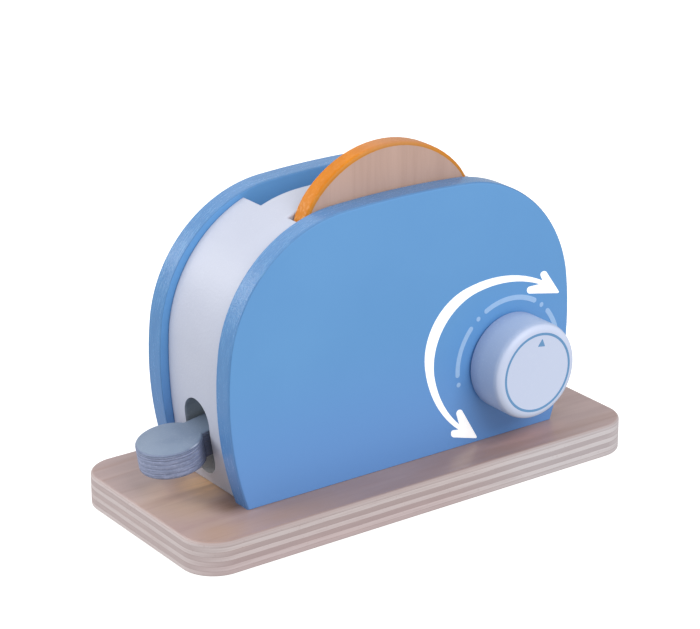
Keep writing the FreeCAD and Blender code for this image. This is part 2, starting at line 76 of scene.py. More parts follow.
# Painted light and shade in the upper face's figure, with some warm tone: painted light where the lever's and
# the knob's shadows fall, a painted warm glow under the lever, and a painted shadow at the front panel's
# foot.
# Each has its middle and radii in millimetres, and tint.
BOARD_LIGHT_SHADE_AND_TONE_PATCHES = (((-98, -8), (23, 28), (188, 161, 142)),
                 ((-93, 5), (17, 15), (222, 188, 168)),
                 ((-81, 3), (14, 18), (255, 208, 158)),
                 ((-83, -22), (12, 12), (112, 84, 66)),
                 ((-100, -42), (20, 14), (176, 146, 128)),
                 ((-64, -42), (34, 13), (164, 134, 118)),
                 ((62, -38), (30, 14), (204, 162, 148)))
SCREW_X = 72.0 * MM
SCREW_Y = 15.6 * MM
SCREW_HOLE_RADIUS = 2.2 * MM
SCREW_SINK_RADIUS = 4.2 * MM
SCREW_SINK_MOUTH = 0.4 * MM
SCREW_SINK_DEPTH = 2.8 * MM
SCREW_LATHE_STEPS = 40
ROD_SEAT_RADIUS = 2.0 * MM
ROD_SEAT_REACH = 20.0 * MM
ROD_SEAT_SIDES = 32

# ---- Panels and core: loaf outlines, each a crown, two corners and two bulging sides ----
PANEL_ARCS = {"crown": 497.0 * MM, "corner": 61.0 * MM, "side": 149.0 * MM, "widest": 49.5 * MM}
CORE_ARCS = {"crown": 497.0 * MM, "corner": 60.5 * MM, "side": 205.0 * MM, "widest": 51.5 * MM}
PANEL_OUTER_ROUND = (1.0 * MM, 5)
PANEL_INNER_ROUND = (0.7 * MM, 5)
PANEL_FOOT_ROUND = (0.4 * MM, 2)
CORE_EDGE_ROUND = (0.8 * MM, 3)
SIDE_FINENESS = 2.0
CORNER_FINENESS = 3.2  # so that no point of the arc comes within 1 mm of the core's joints
RIM_STREAK_RADIUS = 70.0 * MM  # of the streaks round a panel's rim, and the height of their middle
DIVIDER_LAP = 0.75 * MM
CORE_PAINT = {"shade": (185, 190, 207), "base": (189, 194, 210), "fleck": (204, 208, 221), "share": 0.3,
              "roughness": 0.4, "peel_depth": 0.1 * MM}
AXLE_HOLE_RADIUS = 5.08 * MM

# ---- Lever and the mouth it rocks in ----
LEVER_TILT = math.radians(9.0)
LEVER_THICKNESS = 12.0 * MM
LEVER_OUTER_ARM = 34.5 * MM
LEVER_INNER_ARM = 71.0 * MM
LEVER_PAD_RADIUS = 14.4 * MM
LEVER_NECK_WIDTH = 15.0 * MM
LEVER_NECK_END = 14.0 * MM
LEVER_ARM_WIDTH = 9.0 * MM
LEVER_PAD_FINENESS = 1.5
LEVER_EDGE_ROUND = (1.2 * MM, 4)
LEVER_GLUE_LINES = (1.1 * MM, 2.0 * MM, 3.1 * MM, 5.0 * MM, 7.1 * MM, 9.3 * MM)
LEVER_GLUE_GROOVE = 0.2 * MM
LEVER_PIN_HOLE_RADIUS = 2.58 * MM
MOUTH_RADIUS = 9.5 * MM
MOUTH_SIDES = 64
MOUTH_HEIGHT = 35.0 * MM
MOUTH_SILL = 5.0 * MM
MOUTH_MARGIN = 0.1 * MM  # within which a face belongs to the bore
# How deep into the bore its painted shade runs.
BORE_SHADE_REACH = 22.0 * MM

# ---- Slice of bread ----
SLICE_CROWN_RADIUS = 50.5 * MM
SLICE_SHOULDER_RADIUS = 30.0 * MM
SLICE_HEEL_RADIUS = 9.0 * MM
SLICE_CROWN_FINENESS = 1.5
SLICE_EDGE_ROUND = (1.6 * MM, 6)
CRUST_BORDER = 0.6 * MM

# ---- Knob ----
KNOB_FRONT_RADIUS = 4.0 * MM
KNOB_BACK_RADIUS = 0.8 * MM
KNOB_BORE_RADIUS = 5.0 * MM
KNOB_BORE_DEPTH = 13.5 * MM
KNOB_PAINT = {"shade": (201, 211, 236), "base": (204, 214, 238), "fleck": (218, 225, 242), "share": 0.25,
              "roughness": 0.42, "peel_depth": 0.02 * MM}

# ---- Prints on the front panel and the knob, measured from the knob's axis ----
INK_THICKNESS = 0.05 * MM
RING_RADIUS = 17.6 * MM
RING_LINE = 1.1 * MM
POINTER_RADIUS = 13.1 * MM
POINTER_SIZE = 2.35 * MM
POINTER_TURN = math.radians(-8.5)
POINTER_CORNER_ROUND = (0.3 * MM, 4)
DIAL_RADIUS = 28.1 * MM
DIAL_LINE = 2.35 * MM
DIAL_DOT_RADIUS = 1.12 * MM
DIAL_DASHES = ((-1.0, 38.9), (59.6, 116.8), (138.6, 182.8))
DIAL_DOTS = (-12.6, 49.2, 127.3, 192.5)
DIAL_FINENESS = 3.0

# The turn arrow is an arc that thins towards both ends, each with a swallow-tail head. Its outer edge runs
# from the right head over the top to the lower head, and its inner edge runs back.
ARROW_OUTER_START = Vector((18.6, 32.5)) * MM
ARROW_OUTER_HEADING = math.radians(151.6)
ARROW_OUTER_ARCS = ((59.6 * MM, 42.2), (29.1 * MM, 84.2), (51.5 * MM, 43.2))
ARROW_INNER_START = Vector((-26.8, -24.9)) * MM
ARROW_INNER_HEADING = math.radians(136.5)
ARROW_INNER_ARCS = ((47.4 * MM, -34.6), (29.8 * MM, -90.3), (56.0 * MM, -36.0))
ARROW_LOW_TIP = Vector((-16.3, -34.2)) * MM
ARROW_LOW_HEADING = math.radians(-37.3)
ARROW_RIGHT_TIP = Vector((28.8, 24.4)) * MM
ARROW_RIGHT_HEADING = math.radians(-34.1)
ARROW_LONG_BARB = ((-19.6 * MM, 5.0 * MM), (-17.8 * MM, 7.4 * MM))
ARROW_SHORT_BARB = ((-16.6 * MM, 3.1 * MM), (-14.4 * MM, 5.6 * MM))
ARROW_CORNER_ROUND = (1.48 * MM, 5)
ARROW_FINENESS = 2.0

# ---- Camera, measured from a point on the object's middle ----
CAMERA_AIM = Vector((0.0, 0.0, 80.0)) * MM
CAMERA_AZIMUTH = math.radians(-35.46)
CAMERA_ELEVATION = math.radians(21.03)
CAMERA_ROLL = math.radians(-0.14)
CAMERA_DISTANCE = 1089.2 * MM
CAMERA_SLIDE_RIGHT = -4.8 * MM
CAMERA_SLIDE_UP = -4.65 * MM
CAMERA_LENS_MM = 129.4
CAMERA_SENSOR_MM = 36.0

# ---- Light: azimuth and elevation in degrees, distance, width and height in metres, and radiance ----
LIGHTS = {"window_light": (-143.0, 24.5, 1.6, 0.6, 0.56, 3.6),
          "back_light": (172.0, 42.0, 1.8, 1.7, 0.8, 0.7),
          "front_light": (5.0, 42.0, 2.0, 1.6, 1.2, 3.9),
          "left_light": (-112.0, 28.0, 1.6, 0.7, 1.0, 4.4)}
AMBIENT = 0.62
WHITE = (1.0, 1.0, 1.0, 1.0)
FLOOR_SIZE = 8.0
FLOOR_DROP = 0.2 * MM


# ---- Shader arithmetic ----
class Wire:
    """One output socket of a shader node. Sums and products of wires add Math nodes to the same material."""

    def __init__(self, socket):
        self.socket = socket
        self.tree = socket.id_data

    def node(self, kind, settings=None, inputs=None, output=0):
        """Add a node of this kind: its settings are set first, then its sockets' values or links."""
        added = self.tree.nodes.new(kind)
        for name, value in (settings or {}).items():
            if name == "stops":
                set_stops(added.color_ramp, value)
            else:
                setattr(added, name, value)
        for name, value in (inputs or {}).items():
            if isinstance(value, Wire):
                self.tree.links.new(value.socket, added.inputs[name])
            else:
                added.inputs[name].default_value = value
        return Wire(added.outputs[output])

    def other(self, output):
        """Another output of the same node."""
        return Wire(self.socket.node.outputs[output])

    def math(self, operation, *values):
        return self.node("ShaderNodeMath", {"operation": operation}, dict(enumerate((self, *values))))

    def split(self):
        """Wires of a vector's X, Y and Z."""
        x = self.node("ShaderNodeSeparateXYZ", None, {0: self})
        return x, x.other("Y"), x.other("Z")

    def __abs__(self):
        return self.math("ABSOLUTE")

    def __add__(self, other):
        return self.math("ADD", other)

    __radd__ = __add__

    def __sub__(self, other):
        return self.math("SUBTRACT", other)

    def __rsub__(self, other):
        return self.math("MULTIPLY_ADD", -1.0, other)

    def __mul__(self, other):
        return self.math("MULTIPLY", other)

    __rmul__ = __mul__

    def __truediv__(self, other):
        return self.math("DIVIDE", other)

    def step(self, low, high):
        """Rise smoothly from 0 at low to 1 at high."""
        inputs = {"Value": self, "From Min": low, "From Max": high}
        return self.node("ShaderNodeMapRange", {"interpolation_type": "SMOOTHSTEP"}, inputs)

    def clamp(self):
        return self.node("ShaderNodeClamp", None, {"Value": self})

    def noise(self, lumps, detail=3.0, roughness=0.5, distortion=0.0):
        """Noise from 0 to 1 at the place that the wire gives.

        Lumps says how many a metre has, in one number or along X, Y and Z.
        """
        stretch = lumps if isinstance(lumps, tuple) else (lumps,) * 3
        place = self.node("ShaderNodeVectorMath", {"operation": "MULTIPLY"}, {0: self, 1: stretch})
        inputs = {"Vector": place, "Scale": 1.0, "Detail": detail, "Roughness": roughness,
                  "Distortion": distortion}
        return self.node("ShaderNodeTexNoise", {"noise_dimensions": "3D"}, inputs)

    def ramp(self, *stops):
        """Colour ramp through (position, colour) stops."""
        return self.node("ShaderNodeValToRGB", {"stops": stops}, {0: self})

    def blend(self, start, end, blend_type="MIX"):
        """Colour that goes from start to end as the wire goes from 0 to 1."""
        settings = {"data_type": "RGBA", "blend_type": blend_type, "clamp_factor": True}
        return self.node("ShaderNodeMix", settings, {0: self, 6: linear(start), 7: linear(end)}, output=2)

    def between(self, dark, pale):
        """Colour that goes from dark to pale over the middle of a noise's range."""
        return self.step(0.3, 0.7).blend(dark, pale)


def linear(paint):
    """Linear colour from a paint chart's three values from 0 to 255. Wires and linear colours pass."""
    if isinstance(paint, Wire) or len(paint) == 4:
        return paint
    channels = []
    for value in paint:
        share = value / 255
        channels.append(share / 12.92 if share <= 0.04045 else ((share + 0.055) / 1.055) ** 2.4)
    return (*channels, 1.0)


def set_stops(color_ramp, stops):
    """Give a colour ramp these (position, colour) stops and no others."""
    while len(color_ramp.elements) > 1:
        color_ramp.elements.remove(color_ramp.elements[-1])
    for index, (position, paint) in enumerate(stops):
        element = color_ramp.elements[0] if index == 0 else color_ramp.elements.new(position)
        element.position = position
        element.color = linear(paint)


class Finish:
    """A material being made. Its shader's constant values are set at once, and wires fed in at the end."""

    def __init__(self, name, **constants):
        self.material = bpy.data.materials.new(name)
        self.material.use_nodes = True
        self.tree = self.material.node_tree
        self.shader = self.tree.nodes["Principled BSDF"]
        for socket, value in constants.items():
            self.shader.inputs[socket.replace("_", " ")].default_value = value
        self.place = Wire(self.tree.nodes.new("ShaderNodeTexCoord").outputs["Object"])
        self.facing_y, self.facing_z = self.place.other("Normal").split()[1:]

    def done(self, tone, rough, height, depth):
        """Feed in a tone, a roughness, and a relief that rises by depth metres where the height is 1."""
        relief = height.node("ShaderNodeBump", None, {"Height": height, "Distance": depth, "Strength": 1.0})
        for socket, wire in (("Base Color", tone), ("Roughness", rough), ("Normal", relief)):
            self.tree.links.new(wire.socket, self.shader.inputs[socket])
        return self.material


# ---- Finishes ----
def satin_paint(name, shade, base, fleck, share, roughness, peel_depth, side=None):
    """Sprayed satin paint: faint clouds of tone, orange-peel texture, and a gloss that varies a little.

    Share is how strong its flecks are. Side is a function that paints shade round a turned piece's side.
    """
    finish = Finish(name, IOR=1.5)
    clouds = finish.place.noise(22)
    speckle = finish.place.noise(1100, detail=2.0)
    tone = clouds.between(shade, base)
    if side:
        tone = side(finish, tone)
    tone = (speckle.step(0.55, 0.8) * share).blend(tone, fleck)
    rough = roughness + 0.12 * (clouds - 0.5) + 0.10 * (speckle - 0.5)
    return finish.done(tone, rough, finish.place.noise(800, roughness=0.6), peel_depth)


def knob_side_shade(finish, front_tone):
    """Painted shade round the knob's side: darker and bluer towards the back, with a dark painted shadow
    at its back edge. The front keeps its full tone.
    """
    low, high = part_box("knob")
    depth = (finish.place.split()[1] - high.y) / (low.y - high.y)
    side = depth.ramp((0.0, (92, 108, 146)), (0.05, (150, 168, 204)), (0.35, (172, 189, 219)),
                      (0.8, (175, 191, 220)), (1.0, (178, 192, 221)))
    return abs(finish.facing_y).step(0.38, 0.7).blend(side, front_tone)


def panel_paint():
    """Blue satin paint on a solid panel: smooth on its two faces, and harder and darker on its rim.

    The rim was sanded along its length, so its paint keeps fine streaks that run round the middle,
    and most of all on the two shoulders, where they are painted paler too, a painted highlight. Faces
    and rim turn a deeper blue towards the bottom, a painted shade.
    """
    finish = Finish("blue_paint", IOR=1.5)
    place = finish.place
    x, y, z = place.split()
    off_middle = x - middle("left_block", "right_block").x
    broadside = abs(finish.facing_y)
    rim = 1.0 - broadside.step(0.74, 0.995)
    arris = rim * broadside.step(0.15, 0.5)
    around = (z - RIM_STREAK_RADIUS).math("ARCTAN2", off_middle) * RIM_STREAK_RADIUS
    unrolled = place.node("ShaderNodeCombineXYZ", None, {0: around, 1: y})
    sanding = unrolled.noise((260, 1300, 1), detail=4.0, roughness=0.7)
    shoulder = abs(off_middle).step(40 * MM, 70 * MM) * z.step(75 * MM, 100 * MM)
    clouds = place.noise(16)
    peel = place.noise(260, detail=2.0)
    grain = place.noise((900, 1000, 900), roughness=0.6)
    blotches = place.noise((90, 260, 90))
    # Painted shade: the faces and the rim turn a deeper blue towards the bottom.
    low = 1.0 - z.step(15 * MM, 85 * MM)
    face = low.blend(clouds.between((97, 155, 212), (101, 159, 215)), (102, 152, 217))
    edge = blotches.step(0.35, 0.7).blend((80, 130, 183), (86, 136, 188))
    edge = (low * 0.6).blend(edge, (86, 130, 194))
    # Painted highlight: on the shoulders the pale streaks are stronger, where the rim's highlight falls.
    edge = (sanding.step(0.5, 0.7) * (0.1 + 0.4 * shoulder)).blend(edge, (114, 167, 205))
    uneven = 0.12 * (blotches - 0.5) + 0.10 * (grain - 0.5) + (0.3 + 0.5 * shoulder) * (sanding - 0.5)
    rough = 0.4 + 0.06 * (clouds - 0.5) + rim * (uneven - 0.16) + 0.3 * arris
    return finish.done(rim.blend(face, edge), rough,
                       peel * 0.03 + rim * (0.25 + 0.45 * shoulder) * (grain + sanding), 0.18 * MM)


def ink(name, full, **constants):
    """A thin layer of screen-printed ink, slightly uneven in strength."""
    finish = Finish(name, IOR=1.45, **constants)
    patches = finish.place.noise(500)
    thin = (*(0.97 * channel for channel in linear(full)[:3]), 1.0)
    rough = 0.5 + 0.1 * (patches - 0.5)
    return finish.done(patches.step(0.35, 0.6).blend(thin, full), rough, patches, 0.01 * MM)


def ply_wood():
    """Bare plywood with its sheet level: a lacquered face with its grain along X, and cross-banded edges.

    By which way an edge faces, each ply in it shows its end grain, which is pale, or its darker long grain.
    """
    finish = Finish("lacquered_ply", IOR=1.5)
    place = finish.place
    x, y, z = place.split()
    low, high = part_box("base_board")
    half_length, half_width = (high.x - low.x) / 2, (high.y - low.y) / 2
    corner, plies = BOARD_CORNER_ROUND[0], BOARD_PLIES
    along = abs(x)
    waver = place.noise((22, 22, 90)) - 0.5
    level = (z + waver * (0.8 * MM)) * (plies / (high.z - low.z))
    turned = (level.math("FLOOR") * 0.5).math("FRACT") * 2.0
    faces_x = ((along - (half_length - corner)) / corner).clamp()
    faces_y = ((abs(y) - (half_width - corner)) / corner).clamp()
    end_grain = faces_x + turned * (faces_y - faces_x)
    outer_ply = abs(level - plies / 2).step(plies / 2 - 1.15, plies / 2 - 0.85)
    end_grain = end_grain.math("MAXIMUM", outer_ply * 0.5).math("MAXIMUM", faces_x * 0.3)

    pores = place.noise((700, 700, 900), detail=2.0)
    fibres = place.noise((50, 50, 1300), detail=4.0, roughness=0.6)
    patches = place.noise((30, 30, 400))
    edge = end_grain.blend((176, 159, 158), (204, 192, 191))
    edge = (fibres.step(0.45, 0.7) * 0.35).blend(edge, (176, 157, 155))
    edge = (patches.step(0.5, 0.8) * 0.35).blend(edge, (206, 186, 182))
    edge = ((1.0 - pores.step(0.24, 0.36)) * 0.2).blend(edge, (150, 126, 120))
    glue = 1.0 - (0.5 - abs(level.math("FRACT") - 0.5)).step(0.0, 0.12)
    edge = (glue * fibres.step(0.3, 0.6) * 0.35).blend(edge, (144, 122, 118))
    edge = x.step(5 * MM, 70 * MM).blend(edge, (54, 72, 80), "ADD")
    ruddy = faces_y * (1.0 - z.step(2 * MM, 12 * MM)) * (1.0 - x.step(-20 * MM, 60 * MM))
    edge = ruddy.blend(edge, (0.99, 0.93, 0.94, 1.0), "MULTIPLY")

    figure = place.noise((9, 110, 110), detail=4.0, roughness=0.6, distortion=0.8)
    streaks = place.noise((28, 800, 800), detail=2.0)
    mottle = place.noise((38, 110, 110), detail=4.0, roughness=0.65)
    bands = place.noise((8, 85, 85), detail=2.0, distortion=0.6)
    centre = figure.between((158, 133, 127), (167, 142, 136))
    ends = figure.between((169, 146, 143), (180, 157, 153))
    face = along.step(0.5 * half_length, 0.95 * half_length).blend(centre, ends)
    upper = finish.facing_z.step(0.3, 0.7)
    # Painted light and shade: patches that lighten where shadows fall, a warm painted glow and a painted
    # shadow, with some warm tone.
    for (spot_x, spot_y), (radius_x, radius_y), tint in BOARD_LIGHT_SHADE_AND_TONE_PATCHES:
        off_x = (x - spot_x * MM) / (radius_x * MM)
        off_y = (y - spot_y * MM) / (radius_y * MM)
        light_shade_and_tone_patch = 1.0 - (off_x * off_x + off_y * off_y + 0.5 * (mottle - 0.5)).math("SQRT").step(0.0, 1.1)
        face = (upper * light_shade_and_tone_patch * 0.9).blend(face, tint)
    face = (mottle.step(0.5, 0.75) * 0.25).blend(face, (166, 132, 120))
    face = (bands.step(0.5, 0.66) * 0.4).blend(face, (154, 122, 108))
    face = (streaks.step(0.5, 0.74) * 0.1).blend(face, (146, 118, 110))

    upward = abs(finish.facing_z)
    flat = upward.step(0.7, 0.96)
    arris = upward.step(0.2, 0.45) * (1.0 - upward.step(0.88, 0.98))
    # Painted shade: the rounded arris is painted darker, to dull the highlight that it catches.
    tone = (arris * 0.55).blend(flat.blend(edge, face), (164, 145, 141))
    rough = 0.55 - 0.22 * flat + 0.12 * (streaks - 0.5)
    return finish.done(tone, rough, streaks * 0.5 + fibres * 0.3 + pores * 0.2, 0.05 * MM)


def painted_ply():
    """Matt grey-blue paint on plywood that is tilted round its pivot.

    It is smooth on the faces. Round the sides, dark glue lines, ribs and chips show through. Painted shade
    darkens the sides where the lever goes into its mouth, and the upper arris is painted darker, with a
    painted highlight on patches of it from the pad's middle towards its neck.
    """
    finish = Finish("grey_painted_ply", IOR=1.5)
    turned_pivot = Matrix.Rotation(LEVER_TILT, 3, "Y") @ lever_pivot()
    levelled = {"Vector": finish.place, "Rotation": (0, LEVER_TILT, 0), "Location": -turned_pivot}
    place = finish.place.node("ShaderNodeMapping", None, levelled)
    upward = finish.facing_z
    side = 1.0 - abs(upward).step(0.45, 0.9)
    arris = upward.step(0.3, 0.55) * (1.0 - upward.step(0.75, 0.9))
    clouds = place.noise(60, detail=4.0)
    fibres = place.noise((150, 150, 1300), detail=4.0, roughness=0.65)
    chips = place.noise((420, 420, 900))
    speckle = place.noise(1100, detail=2.0)
    ragged = place.noise(340, detail=4.0, roughness=0.65) - 0.5
    x, _, z = place.split()
    depth = (LEVER_THICKNESS / 2 - z + ragged * (1.1 * MM)) / LEVER_THICKNESS
    stops = [(0.0, (0.0, 0.0, 0.0, 1.0))]
    for line in LEVER_GLUE_LINES:
        stops += [((line + offset) / LEVER_THICKNESS, (shade, shade, shade, 1.0))
                  for offset, shade in ((-0.38 * MM, 0.0), (0.0, 1.0), (0.38 * MM, 0.0))]
    glue = depth.ramp(*stops) * side
    tone = clouds.between((115, 131, 154), (129, 144, 165))
    tone = (speckle.step(0.5, 0.8) * 0.4).blend(tone, (148, 159, 176))
    ribs = fibres.step(0.35, 0.65).blend((124, 132, 162), (152, 160, 192))
    tone = (side * 0.8).blend(tone, ribs)
    tone = (glue * chips.step(0.3, 0.6) * 0.45).blend(tone, (84, 90, 116))
    worn = side * depth.step(0.72, 1.0) * chips.step(0.4, 0.6)
    tone = (worn * 0.5).blend(tone, (88, 94, 120))
    tone = (side * speckle.step(0.5, 0.75) * 0.3).blend(tone, (178, 184, 206))
    # Painted shade dulls the upper arris, and a painted highlight lights patches of it from the pad's middle
    # towards the neck.
    tone = (arris * 0.5).blend(tone, (100, 113, 138))
    arris_highlight = arris * clouds.step(0.38, 0.52) * x.step(-LEVER_OUTER_ARM, 6 * MM - LEVER_OUTER_ARM)
    tone = (arris_highlight * 0.9).blend(tone, (198, 208, 224))
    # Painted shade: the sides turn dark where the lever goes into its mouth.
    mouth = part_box("left_block")[0]
    mouth_painted_shade = side * finish.place.split()[0].step(mouth.x - 8 * MM, mouth.x - 2 * MM)
    tone = (mouth_painted_shade * 0.75).blend(tone, (62, 68, 86))
    rough = 0.5 + 0.15 * (speckle - 0.5) + 0.1 * side + 0.2 * arris
    relief = side * (fibres * 0.6 + chips * 0.4) + speckle * 0.15 - 0.5 * glue
    return finish.done(tone, rough, relief, 0.14 * MM)


def toast():
    """Bare pale wood with upright grain, and a crust painted round the rim, which is browned at the crown."""
    finish = Finish("toast_wood", IOR=1.5, Specular_IOR_Level=0.25)
    place = finish.place
    x, _, z = place.split()
    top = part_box("bread_slice")[1].z
    figure = place.noise((120, 120, 10), detail=4.0, roughness=0.6, distortion=0.4)
    streaks = place.noise((1100, 1100, 30), detail=2.0)
    wood = figure.between((191, 159, 145), (200, 168, 154))
    wood = (streaks.step(0.5, 0.76) * 0.16).blend(wood, (176, 142, 126))
    ragged = place.noise(700)
    rim = place.node("ShaderNodeAttribute", {"attribute_name": "crust"}, None, output="Fac")
    painted = (rim + 0.4 * (ragged - 0.5)).step(0.5, 0.8)
    clouds = place.noise(70)
    crumbs = place.noise(620)
    crust = clouds.between((200, 117, 16), (216, 130, 6))
    along = (x - middle("bread_slice").x) + 0.02 * (clouds - 0.5)
    browned = along.step(-22 * MM, 4 * MM) * z.step(top - 9 * MM, top - 1 * MM)
    crust = (browned * 0.8).blend(crust, (194, 136, 96))
    heel = 1.0 - (z + 0.01 * (clouds - 0.5)).step(top - 31 * MM, top - 12 * MM)
    crust = (crumbs.step(0.48, 0.64) * (0.1 + 0.6 * heel)).blend(crust, (228, 170, 108))
    arris = painted * abs(finish.facing_y).step(0.5, 0.95)
    crust = (arris * 0.6).blend(crust, (196, 132, 50))
    rough = 0.6 - 0.12 * painted + 0.12 * (streaks - 0.5)
    return finish.done(painted.blend(wood, crust), rough,
                       streaks * (1.0 - painted) * 0.6 + crumbs * painted * (0.5 + 1.5 * heel), 0.05 * MM)


def turned_beech(name, lumps):
    """Bare beech dowel with short dark flecks. It has the fewest lumps along its grain."""
    finish = Finish(name, IOR=1.5)
    flecks = finish.place.noise(lumps, detail=2.0)
    clouds = finish.place.noise(60)
    tone = clouds.between((196, 158, 118), (214, 178, 138))
    tone = (flecks.step(0.58, 0.72) * 0.6).blend(tone, (150, 106, 72))
    return finish.done(tone, 0.6 + 0.1 * (flecks - 0.5), flecks, 0.04 * MM)


def plated_steel():
    """Zinc-plated steel with fine drawn lines and a cloudy sheen."""
    finish = Finish("plated_steel", Metallic=1.0)
    clouds = finish.place.noise(260)
    lines = finish.place.noise((2500, 2500, 120), detail=2.0)
    tone = clouds.between((176, 178, 182), (206, 208, 210))
    return finish.done(tone, 0.28 + 0.2 * (clouds - 0.5) + 0.15 * (lines - 0.5), lines, 0.01 * MM)


def bore_painted_shade():
    """Painted shade in the mouth: grey over the bore, darkest a little way inside its opening and paler
    deeper in.

    Painted light makes the sill paler, where the lever's shadow falls.
    """
    finish = Finish("grey_bore_shade", IOR=1.5)
    place = finish.place
    drift = place.noise(120)
    speckle = place.noise(900, detail=2.0)
    x, _, z = place.split()
    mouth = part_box("left_block")[0]
    depth = (x - mouth.x + 6 * MM * (drift - 0.5)) / BORE_SHADE_REACH
    height = z - (mouth.z + MOUTH_SILL) + 4 * MM * (drift - 0.5)
    tone = depth.ramp((0.0, (168, 176, 188)), (0.12, (132, 142, 152)), (0.4, (176, 188, 198)),
                      (1.0, (200, 210, 218)))
    # Painted light: the sill is made paler where the lever's shadow falls.
    sill_painted_light = (1.0 - height.step(7 * MM, 14 * MM)) * (1.0 - depth.step(0.4, 1.0))
    tone = sill_painted_light.blend(tone, (240, 238, 238))
    tone = (speckle.step(0.5, 0.75) * 0.35).blend(tone, (176, 182, 190))
    return finish.done(tone, 0.6 + 0.2 * (speckle - 0.5), speckle, 0.06 * MM)


def moulded(name, dark, pale, grain):
    """Matt moulded or pressed sheet material with a fine grain."""
    finish = Finish(name, IOR=1.48)
    speckle = finish.place.noise(grain)
    return finish.done(speckle.between(dark, pale), 0.6 + 0.2 * (speckle - 0.5), speckle, 0.03 * MM)


# ---- Hand modelling ----
def begin(name):
    """Name the primitive just added, put its place in its mesh, and open it for editing."""
    part = bpy.context.object
    part.name = name
    part.data.name = name
    bpy.ops.object.transform_apply(location=True, rotation=True, scale=True)
    bpy.ops.object.mode_set(mode="EDIT")
    bpy.ops.mesh.select_mode(type="VERT")
    select_all()
    return part


def select_all():
    bpy.ops.mesh.select_all(action="SELECT")


def clear_bench():
    if bpy.context.object and bpy.context.object.mode != "OBJECT":
        bpy.ops.object.mode_set(mode="OBJECT")
    bpy.ops.object.select_all(action="DESELECT")


def take_up(*parts):
    """Leave editing and select only these pieces, the first one as the active one."""
    clear_bench()
    for part in parts:
        part.select_set(True)
    bpy.context.view_layer.objects.active = parts[0]


def add_rod(name, radius, start, end, sides=DRILL_SIDES):
    """Cylinder from start to end."""
    clear_bench()
    turn = (end - start).to_track_quat("Z", "Y").to_euler()
    bpy.ops.mesh.primitive_cylinder_add(vertices=sides, radius=radius, depth=(end - start).length,
                                        location=(start + end) / 2, rotation=turn)
    return begin(name)


def choose(part, kind, test):
    """Select only the vertices, edges or faces that pass a test of their middle and their direction."""
    bpy.ops.mesh.select_mode(type=kind)
    bpy.ops.mesh.select_all(action="DESELECT")
    mesh = bmesh.from_edit_mesh(part.data)
    mesh.normal_update()
    if kind == "VERT":
        for vertex in mesh.verts:
            vertex.select_set(test(vertex.co, vertex.normal))
    elif kind == "EDGE":
        for edge in mesh.edges:
            start, end = (vertex.co for vertex in edge.verts)
            edge.select_set(test((start + end) / 2, (end - start).normalized()))
    else:
        for face in mesh.faces:
            face.select_set(test(face.calc_center_median(), face.normal))
    bmesh.update_edit_mesh(part.data)


def close(value, target):
    return abs(value - target) < NEAR


def bevel(size, kind="EDGES"):
    """Bevel the selected edges or corners to a round."""
    radius, flats = size
    bpy.ops.mesh.bevel(offset=radius, segments=flats, affect=kind)


def bevel_edges(part, size, test):
    """Bevel the edges that pass a test of their middle and their direction."""
    choose(part, "EDGE", test)
    bevel(size)


def tidy_mesh():
    """Merge doubles and turn every face outwards."""
    select_all()
    bpy.ops.mesh.remove_doubles(threshold=MERGE_WITHIN)
    bpy.ops.mesh.normals_make_consistent(inside=False)


def modify(part, kind, **settings):
    """Add a modifier with these settings and apply it."""
    take_up(part)
    modifier = part.modifiers.new(kind.lower(), kind)
    for name, value in settings.items():
        setattr(modifier, name, value)
    bpy.ops.object.modifier_apply(modifier=modifier.name)


def drill(part, cutter):
    """Cut the cutter's shape out of the part, and throw the cutter away."""
    modify(part, "BOOLEAN", operation="DIFFERENCE", object=cutter, solver="EXACT")
    bpy.data.objects.remove(cutter)


class Pencil:
    """Draws an outline in a flat plane with the extrude and spin tools, from where it last stopped."""

    def __init__(self, name, origin, across, up, start, heading=0.0):
        self.origin, self.across, self.up = origin, across, up
        self.spot = Vector(start)
        self.heading = heading
        clear_bench()
        bpy.ops.mesh.primitive_plane_add(size=MM, location=self.place(self.spot))
        self.part = begin(name)
        bpy.ops.mesh.merge(type="CENTER")

    def place(self, spot):
        return self.origin + self.across * spot.x + self.up * spot.y

    def lines(self, *spots):
        """Straight lines to these places in turn."""
        for goal in map(Vector, spots):
            move = self.place(goal) - self.place(self.spot)
            bpy.ops.mesh.extrude_vertices_move(TRANSFORM_OT_translate={"value": move})
            self.heading = math.atan2(goal.y - self.spot.y, goal.x - self.spot.x)
            self.spot = goal

    def arc(self, radius, turn, fineness=1.0):
        """Curve to the left through this many radians, or to the right if they are negative."""
        left = Vector((-math.sin(self.heading), math.cos(self.heading)))
        centre = self.spot + left * math.copysign(radius, turn)
        steps = max(ARC_LEAST_STEPS, math.ceil(fineness * abs(turn) / ARC_STEP_ANGLE),
                    math.ceil(abs(turn) * radius / ARC_STEP_LENGTH))
        bpy.ops.mesh.spin(steps=steps, angle=turn, center=self.place(centre), axis=self.up.cross(self.across))
        self.spot = centre + Matrix.Rotation(turn, 2) @ (self.spot - centre)
        self.heading += turn

    def fill(self):
        select_all()
        bpy.ops.mesh.remove_doubles(threshold=MERGE_WITHIN)
        bpy.ops.mesh.edge_face_add()
        return self.part

    def lathe(self, centre, axis, steps=LATHE_STEPS):
        """Turn the profile once round the axis."""
        select_all()
        bpy.ops.mesh.spin(steps=steps, angle=math.tau, center=centre, axis=axis)
        tidy_mesh()
        return self.part


def at_angle(angle, radius):
    """Place in a drawing at this angle and distance from its origin."""
    return Vector((math.cos(angle), math.sin(angle))) * radius


def thicken(part, move):
    """Extrude the flat face by this move and turn the solid's faces outwards."""
    bpy.ops.mesh.select_mode(type="FACE")
    select_all()
    bpy.ops.mesh.extrude_region_move(TRANSFORM_OT_translate={"value": move})
    tidy_mesh()
    return part


